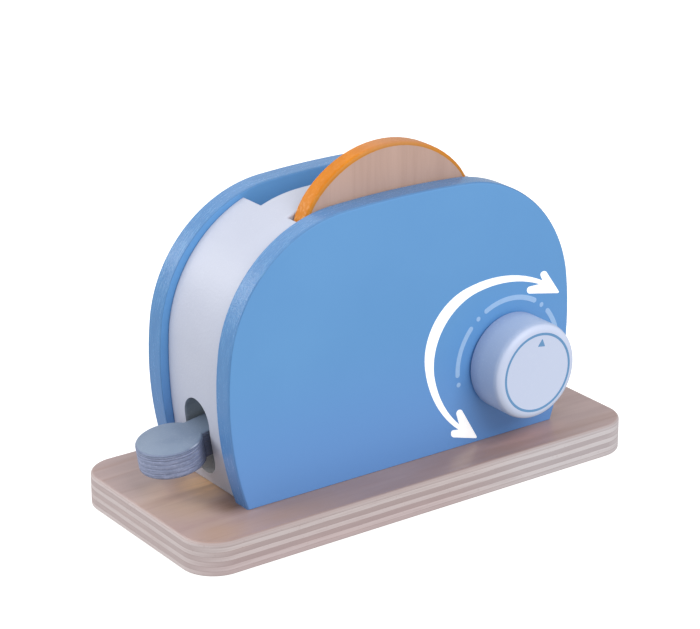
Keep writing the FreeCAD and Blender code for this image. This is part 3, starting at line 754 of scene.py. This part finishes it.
def hand_over(part, body, finish, replaced=()):
    """Shade the finished piece, give it its finish, and let it ride on its body in its nodes' place."""
    take_up(part)
    bpy.ops.object.shade_smooth_by_angle(angle=SHARP_ANGLE)
    modify(part, "WEIGHTED_NORMAL", keep_sharp=True)
    part.data.materials.clear()
    part.data.materials.append(finish)
    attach(part, body)
    if replaced:
        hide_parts(*replaced)
    clear_bench()


# ---- Places in the frame ----
def middle(node, last_node=None):
    """Middle of a node, or of a row of nodes."""
    return (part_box(node)[0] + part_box(last_node or node)[1]) / 2


def knob_axis():
    """Point on the knob's axis, at the back of the knob."""
    knob = middle("knob")
    return Vector((knob.x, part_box("knob")[1].y, knob.z))


def lever_pivot():
    """Middle of the lever's pin, at mid depth of the lever."""
    pin = middle("lever_pin")
    return Vector((pin.x, middle("lever").y, pin.z))


# ---- Pieces ----
def score_glue_lines(part, lines, groove):
    """Score a shallow groove along each glue line of a level sheet of plywood."""
    for line in lines:
        for offset in (-GROOVE_HALF_WIDTH * groove, 0.0, GROOVE_HALF_WIDTH * groove):
            select_all()
            bpy.ops.mesh.bisect(plane_co=(0, 0, line + offset), plane_no=Z_AXIS, threshold=CUT_WITHIN)
        choose(part, "VERT", lambda spot, normal: close(spot.z, line) and abs(normal.z) < ALONG)
        bpy.ops.transform.shrink_fatten(value=-groove)


def make_board(finish):
    low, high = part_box("base_board")
    clear_bench()
    bpy.ops.mesh.primitive_cube_add(size=1.0, location=(low + high) / 2, scale=high - low)
    board = begin("board")
    bevel_edges(board, BOARD_CORNER_ROUND, lambda spot, way: abs(way.z) > ALONG)
    for level, size in ((high.z, BOARD_EDGE_ROUND), (low.z, BOARD_FOOT_ROUND)):
        bevel_edges(board, size, lambda spot, way: close(spot.z, level))
    ply = (high.z - low.z) / BOARD_PLIES
    score_glue_lines(board, [low.z + ply * index for index in range(1, BOARD_PLIES)], BOARD_GLUE_GROOVE)
    tidy_mesh()
    core = middle("left_block", "right_block")
    for x in (core.x - SCREW_X, core.x + SCREW_X):
        for y in (core.y - SCREW_Y, core.y + SCREW_Y):
            drill(board, screw_cutter(Vector((x, y, low.z)), high.z - low.z))
    rods_low, rods_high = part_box("guide_rods")
    radius = (rods_high.y - rods_low.y) / 2
    for x in (rods_low.x + radius, rods_high.x - radius):
        seat = Vector((x, rods_low.y + radius, rods_low.z))
        top = seat + Z_AXIS * ROD_SEAT_REACH
        drill(board, add_rod("rod_seat", ROD_SEAT_RADIUS, seat, top, ROD_SEAT_SIDES))
    hand_over(board, "chassis", finish, ["base_board"])


def screw_cutter(place, depth):
    """Countersunk screw hole, drawn as its profile and turned."""
    top = depth + CUTTER_OVERSHOOT
    pencil = Pencil("screw_cutter", place, X_AXIS, Z_AXIS, (0.0, -CUTTER_OVERSHOOT))
    pencil.lines((SCREW_SINK_RADIUS, -CUTTER_OVERSHOOT), (SCREW_SINK_RADIUS, SCREW_SINK_MOUTH),
                 (SCREW_HOLE_RADIUS, SCREW_SINK_DEPTH), (SCREW_HOLE_RADIUS, top), (0.0, top))
    return pencil.lathe(place, Z_AXIS, SCREW_LATHE_STEPS)


def add_loaf(name, arcs, low, high):
    """Loaf standing on its foot between two corners.

    Its outline starts at the foot's right end and runs counterclockwise as seen from the front.
    """
    crown = Vector((0.0, high.z - low.z - arcs["crown"]))
    side = Vector(((high.x - low.x) / 2 - arcs["side"], arcs["widest"]))
    corner = touching_centre(crown, arcs["crown"], side, arcs["side"], arcs["corner"])
    foot_angle = -math.asin(arcs["widest"] / arcs["side"])
    side_end = math.atan2(corner.y - side.y, corner.x - side.x)
    crown_start = math.atan2(corner.y - crown.y, corner.x - crown.x)
    start = side + at_angle(foot_angle, arcs["side"])
    origin = Vector(((low.x + high.x) / 2, low.y, low.z))
    pencil = Pencil(name, origin, X_AXIS, Z_AXIS, start, foot_angle + math.pi / 2)
    pencil.arc(arcs["side"], side_end - foot_angle, SIDE_FINENESS)
    pencil.arc(arcs["corner"], crown_start - side_end, CORNER_FINENESS)
    pencil.arc(arcs["crown"], math.pi - 2 * crown_start)
    pencil.arc(arcs["corner"], crown_start - side_end, CORNER_FINENESS)
    pencil.arc(arcs["side"], side_end - foot_angle, SIDE_FINENESS)
    return thicken(pencil.fill(), Y_AXIS * (high.y - low.y))


def touching_centre(crown, crown_radius, side, side_radius, radius):
    """Centre of the right corner's circle, inside the crown's and the side's circles and touching both."""
    reach_crown = crown_radius - radius
    reach_side = side_radius - radius
    way = side - crown
    along = (reach_crown ** 2 - reach_side ** 2 + way.length_squared) / (2 * way.length)
    off = math.sqrt(reach_crown ** 2 - along ** 2)
    ahead = way.normalized()
    beside = Vector((-ahead.y, ahead.x))
    return max((crown + ahead * along + beside * off, crown + ahead * along - beside * off), key=sum)


def make_panel(name, node, finish, outer_y, axle_hole=False):
    """Outer_y is the side that faces away from the core, whose edges are rounded more."""
    low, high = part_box(node)
    panel = add_loaf(name, PANEL_ARCS, low, high)
    for side_y in (low.y, high.y):
        size = PANEL_OUTER_ROUND if side_y == outer_y else PANEL_INNER_ROUND
        bevel_edges(panel, size, lambda spot, way: spot.z > low.z + NEAR and close(spot.y, side_y))
    bevel_edges(panel, PANEL_FOOT_ROUND, lambda spot, way: close(spot.z, low.z) and abs(way.x) > ALONG)
    tidy_mesh()
    if axle_hole:
        axis = knob_axis()
        start = Vector((axis.x, low.y - CUTTER_OVERSHOOT, axis.z))
        end = Vector((axis.x, high.y + CUTTER_OVERSHOOT, axis.z))
        drill(panel, add_rod("axle_drill", AXLE_HOLE_RADIUS, start, end))
    hand_over(panel, "chassis", finish, [node])


def add_core(name):
    """The whole white core, before it is cut into its blocks."""
    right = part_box("right_block")[1]
    high = Vector((right.x, right.y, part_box("divider")[1].z))
    return add_loaf(name, CORE_ARCS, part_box("left_block")[0], high)


def saw(part, place, away):
    """Saw the part through at this place, and drop what lies on the away side."""
    select_all()
    bpy.ops.mesh.bisect(plane_co=place, plane_no=away, use_fill=True, clear_outer=True, threshold=CUT_WITHIN)
    return part


def ease_ridges(part, ends=()):
    """Sand the sharp outward edges lightly round, except those in the planes at the X values of its ends."""
    tidy_mesh()
    choose(part, "EDGE", lambda spot, way: not any(close(spot.x, end) for end in ends))
    mesh = bmesh.from_edit_mesh(part.data)
    for edge in mesh.edges:
        if edge.select and edge.calc_face_angle_signed() < SHARP_ANGLE:
            edge.select_set(False)
    bmesh.update_edit_mesh(part.data)
    bevel(CORE_EDGE_ROUND)
    tidy_mesh()


def make_block(name, joint_x, away):
    """End block of the core, with its edges eased."""
    block = saw(add_core(name), Vector((joint_x, 0, 0)), away)
    ease_ridges(block)
    return block


def make_left_block(finish, bore_finish):
    """The block with the mouth that the lever rocks in. Its bore has a finish of its own, of painted shade.
    """
    low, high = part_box("left_block")
    block = make_block("left_core_block", high.x, X_AXIS)
    pivot = lever_pivot()
    sill = low.z + MOUTH_SILL
    start = Vector((low.x - CUTTER_OVERSHOOT, pivot.y, sill + MOUTH_RADIUS))
    end = Vector((high.x + CUTTER_OVERSHOOT, start.y, start.z))
    mouth = add_rod("mouth_cutter", MOUTH_RADIUS, start, end, MOUTH_SIDES)
    choose(mouth, "VERT", lambda spot, normal: spot.z > start.z - NEAR)
    bpy.ops.transform.translate(value=Z_AXIS * (MOUTH_HEIGHT - 2 * MOUTH_RADIUS))
    drill(block, mouth)
    hand_over(block, "chassis", finish, ["left_block"])

    def in_bore(spot, normal):
        return (abs(normal.x) < ALONG and abs(spot.y - pivot.y) < MOUTH_RADIUS + MOUTH_MARGIN
                and -MOUTH_MARGIN < spot.z - sill < MOUTH_HEIGHT + MOUTH_MARGIN)

    take_up(block)
    block.data.materials.append(bore_finish)
    block.active_material_index = 1
    bpy.ops.object.mode_set(mode="EDIT")
    choose(block, "FACE", in_bore)
    bpy.ops.object.material_slot_assign()
    clear_bench()


def make_right_block(finish):
    block = make_block("right_core_block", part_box("right_block")[0].x, -X_AXIS)
    hand_over(block, "chassis", finish, ["right_block"])


def make_divider(finish):
    """Wall between the slots. Its ends lap over the blocks' eased edges, so the surface runs on unbroken."""
    low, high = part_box("divider")
    low.x -= DIVIDER_LAP
    high.x += DIVIDER_LAP
    divider = add_core("slot_divider")
    for place, away in ((low, -X_AXIS), (high, X_AXIS), (low, -Y_AXIS), (high, Y_AXIS), (low, -Z_AXIS)):
        saw(divider, place, away)
    ease_ridges(divider, ends=(low.x, high.x))
    hand_over(divider, "chassis", finish, ["divider"])


def make_lever(finish):
    """Drawn level round its pin, then tilted so that the outer end dips."""
    half_arm, half_neck = LEVER_ARM_WIDTH / 2, LEVER_NECK_WIDTH / 2
    pad_meets_neck = math.asin(half_neck / LEVER_PAD_RADIUS)
    neck_start = -LEVER_OUTER_ARM + LEVER_PAD_RADIUS * math.cos(pad_meets_neck)
    bottom = Vector((0, 0, -LEVER_THICKNESS / 2))
    pencil = Pencil("rocking_lever", bottom, X_AXIS, Y_AXIS, (LEVER_INNER_ARM, -half_arm))
    pencil.lines((LEVER_INNER_ARM, half_arm), (LEVER_NECK_END, half_arm),
                 (LEVER_NECK_END, half_neck), (neck_start, half_neck))
    pencil.heading = pad_meets_neck + math.pi / 2
    pencil.arc(LEVER_PAD_RADIUS, math.tau - 2 * pad_meets_neck, LEVER_PAD_FINENESS)
    pencil.lines((LEVER_NECK_END, -half_neck), (LEVER_NECK_END, -half_arm))
    lever = thicken(pencil.fill(), Z_AXIS * LEVER_THICKNESS)
    bevel_edges(lever, LEVER_EDGE_ROUND, lambda spot, way: close(abs(spot.z), LEVER_THICKNESS / 2))
    score_glue_lines(lever, [LEVER_THICKNESS / 2 - line for line in LEVER_GLUE_LINES], LEVER_GLUE_GROOVE)
    tidy_mesh()
    reach = Y_AXIS * LEVER_NECK_WIDTH
    drill(lever, add_rod("pin_drill", LEVER_PIN_HOLE_RADIUS, -reach, reach))
    lever.rotation_euler.y = -LEVER_TILT
    lever.location = lever_pivot()
    bpy.ops.object.transform_apply(location=True, rotation=True, scale=True)
    hand_over(lever, "lever", finish, ["lever"])


def make_slice(finish):
    low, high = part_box("bread_slice")
    half, height = (high.x - low.x) / 2, high.z - low.z
    crown_centre = height - SLICE_CROWN_RADIUS
    shoulder_x = half - SLICE_SHOULDER_RADIUS
    reach = SLICE_CROWN_RADIUS - SLICE_SHOULDER_RADIUS
    shoulder_z = crown_centre + math.sqrt(reach ** 2 - shoulder_x ** 2)
    shoulder_turn = math.atan2(shoulder_z - crown_centre, shoulder_x)
    origin = Vector(((low.x + high.x) / 2, low.y, low.z))
    pencil = Pencil("toast_slice", origin, X_AXIS, Z_AXIS, (SLICE_HEEL_RADIUS - half, 0.0))
    pencil.lines((half - SLICE_HEEL_RADIUS, 0.0))
    pencil.arc(SLICE_HEEL_RADIUS, math.pi / 2)
    pencil.lines((half, shoulder_z))
    pencil.arc(SLICE_SHOULDER_RADIUS, shoulder_turn)
    pencil.arc(SLICE_CROWN_RADIUS, math.pi - 2 * shoulder_turn, SLICE_CROWN_FINENESS)
    pencil.arc(SLICE_SHOULDER_RADIUS, shoulder_turn)
    pencil.lines((-half, SLICE_HEEL_RADIUS))
    pencil.arc(SLICE_HEEL_RADIUS, math.pi / 2)
    bread = thicken(pencil.fill(), Y_AXIS * (high.y - low.y))
    bevel_edges(bread, SLICE_EDGE_ROUND, lambda spot, way: abs(way.y) < ALONG)
    tidy_mesh()
    choose(bread, "FACE", lambda spot, normal: abs(normal.y) > FLAT_ON)
    bpy.ops.mesh.inset(thickness=CRUST_BORDER, use_even_offset=True)
    mesh = bmesh.from_edit_mesh(bread.data)
    crust = mesh.verts.layers.float.new("crust")
    for vertex in mesh.verts:
        vertex[crust] = 0.0 if vertex.select else 1.0
    bmesh.update_edit_mesh(bread.data)
    hand_over(bread, "slice", finish, ["bread_slice"])


def make_knob(finish):
    low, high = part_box("knob")
    axis = knob_axis()
    radius, depth = (high.x - low.x) / 2, high.y - low.y - INK_THICKNESS
    pencil = Pencil("turning_knob", axis, X_AXIS, -Y_AXIS, (0.0, KNOB_BORE_DEPTH))
    pencil.lines((KNOB_BORE_RADIUS, KNOB_BORE_DEPTH), (KNOB_BORE_RADIUS, 0.0),
                 (radius - KNOB_BACK_RADIUS, 0.0))
    pencil.arc(KNOB_BACK_RADIUS, math.pi / 2)
    pencil.lines((radius, depth - KNOB_FRONT_RADIUS))
    pencil.arc(KNOB_FRONT_RADIUS, math.pi / 2)
    pencil.lines((0.0, depth))
    knob = pencil.lathe(axis, Y_AXIS)
    hand_over(knob, "knob", finish, ["knob"])


# ---- Prints ----
def print_pencil(name, face_y, start, heading=0.0):
    """Pencil on a face that looks to the front, measured from the knob's axis."""
    axis = knob_axis()
    origin = Vector((axis.x, face_y + INK_THICKNESS, axis.z))
    return Pencil(name, origin, X_AXIS, Z_AXIS, start, heading)


def lay_ink(part):
    """Give a flat print its thickness, half of it sunk in the surface."""
    return thicken(part, -Y_AXIS * 2 * INK_THICKNESS)


def draw_dash(face_y, start, end):
    """Round-ended stroke round the dial between two angles in degrees."""
    start, end = math.radians(start), math.radians(end)
    outer = DIAL_RADIUS + DIAL_LINE / 2
    pencil = print_pencil("dial_dash", face_y, at_angle(start, outer), start + math.pi / 2)
    pencil.arc(outer, end - start, DIAL_FINENESS)
    pencil.arc(DIAL_LINE / 2, math.pi)
    pencil.arc(DIAL_RADIUS - DIAL_LINE / 2, start - end, DIAL_FINENESS)
    pencil.arc(DIAL_LINE / 2, math.pi)
    return lay_ink(pencil.fill())


def draw_dot(face_y, angle):
    centre = at_angle(math.radians(angle), DIAL_RADIUS)
    pencil = print_pencil("dial_dot", face_y, centre + Vector((DIAL_DOT_RADIUS, 0.0)), math.pi / 2)
    pencil.arc(DIAL_DOT_RADIUS, math.tau)
    return lay_ink(pencil.fill())


def make_dial_marks(finish, face_y):
    marks = [draw_dash(face_y, start, end) for start, end in DIAL_DASHES]
    marks += [draw_dot(face_y, angle) for angle in DIAL_DOTS]
    take_up(*marks)
    bpy.ops.object.join()
    marks[0].name = "dial_marks"
    hand_over(marks[0], "chassis", finish)


def head_corners(tip, heading, right_barb, left_barb):
    """Corners of an arrow head, from its right barb round the tip to its left barb.

    A barb's points are distances along the head's axis and off to its side.
    """
    turn = Matrix.Rotation(heading, 2)
    right = [tip + turn @ Vector((along, -off)) for along, off in right_barb]
    return right + [tip] + [tip + turn @ Vector((along, off)) for along, off in reversed(left_barb)]


def make_turn_arrow(finish, face_y):
    """One closed outline: outer edge, lower head, inner edge back, right head."""
    pencil = print_pencil("turn_arrow", face_y, ARROW_OUTER_START, ARROW_OUTER_HEADING)
    for radius, turn in ARROW_OUTER_ARCS:
        pencil.arc(radius, math.radians(turn), ARROW_FINENESS)
    low_head = head_corners(ARROW_LOW_TIP, ARROW_LOW_HEADING, ARROW_SHORT_BARB, ARROW_LONG_BARB)
    right_head = head_corners(ARROW_RIGHT_TIP, ARROW_RIGHT_HEADING, ARROW_LONG_BARB, ARROW_SHORT_BARB)
    pencil.lines(*low_head, ARROW_INNER_START)
    pencil.heading = ARROW_INNER_HEADING
    for radius, turn in ARROW_INNER_ARCS:
        pencil.arc(radius, math.radians(turn), ARROW_FINENESS)
    pencil.lines(*right_head)
    arrow = pencil.fill()
    places = [pencil.place(spot) for spot in low_head + right_head]
    choose(arrow, "VERT", lambda spot, normal: any((spot - place).length < NEAR for place in places))
    bevel(ARROW_CORNER_ROUND, "VERTICES")
    hand_over(lay_ink(arrow), "chassis", finish)


def make_knob_ring(finish, face_y):
    pencil = print_pencil("knob_ring", face_y, (RING_RADIUS - RING_LINE / 2, 0.0))
    pencil.lines((RING_RADIUS + RING_LINE / 2, 0.0))
    hand_over(lay_ink(pencil.lathe(pencil.origin, Y_AXIS)), "knob", finish)


def make_knob_pointer(finish, face_y):
    """Small triangle that points to the knob's rim."""
    turn = Matrix.Rotation(POINTER_TURN, 2)
    thirds = [Matrix.Rotation(math.tau * third / 3, 2) @ Vector((0.0, POINTER_SIZE)) for third in range(3)]
    corners = [turn @ (Vector((0.0, POINTER_RADIUS)) + third) for third in thirds]
    pencil = print_pencil("knob_pointer", face_y, corners[0])
    pencil.lines(*corners[1:])
    pointer = pencil.fill()
    bpy.ops.mesh.select_mode(type="VERT")
    bevel(POINTER_CORNER_ROUND, "VERTICES")
    hand_over(lay_ink(pointer), "knob", finish)


# ---- Dressing the frame ----
def dress(node, finish):
    """Give a CAD node that keeps its shape a better finish."""
    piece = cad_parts[node]
    if not piece.material_slots:
        piece.data.materials.append(finish)
    for slot in piece.material_slots:
        slot.material = finish


def make_object():
    bare_ply = ply_wood()
    blue = panel_paint()
    white = satin_paint("white_paint", **CORE_PAINT)
    make_board(bare_ply)
    make_panel("front_loaf_panel", "front_panel", blue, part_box("front_panel")[0].y, axle_hole=True)
    make_panel("back_loaf_panel", "back_panel", blue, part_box("back_panel")[1].y)
    make_left_block(white, bore_painted_shade())
    make_right_block(white)
    make_divider(white)
    make_lever(painted_ply())
    make_slice(toast())
    # The knob's paint gets painted shade round its side.
    make_knob(satin_paint("cool_white_paint", side=knob_side_shade, **KNOB_PAINT))

    panel_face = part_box("front_panel")[0].y
    knob_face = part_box("knob")[0].y + INK_THICKNESS
    make_dial_marks(ink("pale_blue_ink", (160, 196, 236)), panel_face)
    # Painted light: the white ink glows faintly, so the arrow stays brighter than the lit panel round it.
    glowing_white_ink = ink("bright_white_ink", (253, 253, 253), Emission_Color=WHITE, Emission_Strength=0.3)
    make_turn_arrow(glowing_white_ink, panel_face)
    blue_ink = ink("blue_ink", (104, 152, 198))
    make_knob_ring(blue_ink, knob_face)
    make_knob_pointer(blue_ink, knob_face)

    steel = plated_steel()
    for node in ("base_screws", "lever_pin", "guide_rods", "axle_pin"):
        dress(node, steel)
    beech_across = turned_beech("beech_dowel_across", (900, 70, 900))
    for node in ("panel_dowels", "lift_dowel", "knob_axle"):
        dress(node, beech_across)
    dress("divider_dowels", turned_beech("beech_dowel_along", (70, 900, 900)))
    dress("lift_tray", bare_ply)
    dress("lever_spacers", moulded("nylon_washer", (214, 214, 210), (232, 232, 228), 600))
    dress("knob_washer", moulded("fibre_washer", (28, 32, 44), (44, 50, 66), 1200))


# ---- Stage ----
def make_floor():
    clear_bench()
    bpy.ops.mesh.primitive_plane_add(size=FLOOR_SIZE, location=(0, 0, -FLOOR_DROP))
    floor = bpy.context.object
    floor.name = "studio_floor"
    finish = Finish("white_sweep", Base_Color=(0.5, 0.5, 0.5, 1.0), Roughness=0.9, Specular_IOR_Level=0.1,
                    Emission_Color=WHITE, Emission_Strength=0.8)
    floor.data.materials.append(finish.material)
    floor.visible_diffuse = False
    floor.visible_glossy = False


def look_from(azimuth, elevation):
    """Direction from the object to what stands at this azimuth and elevation."""
    return Vector((math.sin(azimuth) * math.cos(elevation), -math.cos(azimuth) * math.cos(elevation),
                   math.sin(elevation)))


def add_softbox(name, azimuth, elevation, distance, width, height, radiance):
    """Rectangular light aimed at the object's middle."""
    back = look_from(math.radians(azimuth), math.radians(elevation))
    bpy.ops.object.light_add(type="AREA", location=CAMERA_AIM + back * distance,
                             rotation=back.to_track_quat("Z", "Y").to_euler())
    light = bpy.context.object
    light.name = name
    light.data.shape = "RECTANGLE"
    light.data.size, light.data.size_y = width, height
    light.data.energy = radiance * math.pi * width * height


def make_light():
    world = bpy.data.worlds.new("studio")
    world.use_nodes = True
    background = world.node_tree.nodes["Background"]
    background.inputs["Color"].default_value = WHITE
    background.inputs["Strength"].default_value = AMBIENT
    bpy.context.scene.world = world
    bpy.context.scene.view_settings.view_transform = "Standard"
    for name, values in LIGHTS.items():
        add_softbox(name, *values)


def make_camera():
    back = look_from(CAMERA_AZIMUTH, CAMERA_ELEVATION)
    level_right = Vector((math.cos(CAMERA_AZIMUTH), math.sin(CAMERA_AZIMUTH), 0.0))
    level_up = back.cross(level_right)
    right = level_right * math.cos(CAMERA_ROLL) + level_up * math.sin(CAMERA_ROLL)
    up = back.cross(right)
    spot = CAMERA_AIM + back * CAMERA_DISTANCE + right * CAMERA_SLIDE_RIGHT + up * CAMERA_SLIDE_UP
    bpy.ops.object.camera_add(location=spot, rotation=Matrix((right, up, back)).transposed().to_euler())
    camera = bpy.context.object
    camera.data.sensor_width = CAMERA_SENSOR_MM
    camera.data.lens = CAMERA_LENS_MM
    bpy.context.scene.camera = camera


make_object()
make_floor()
make_light()
make_camera()
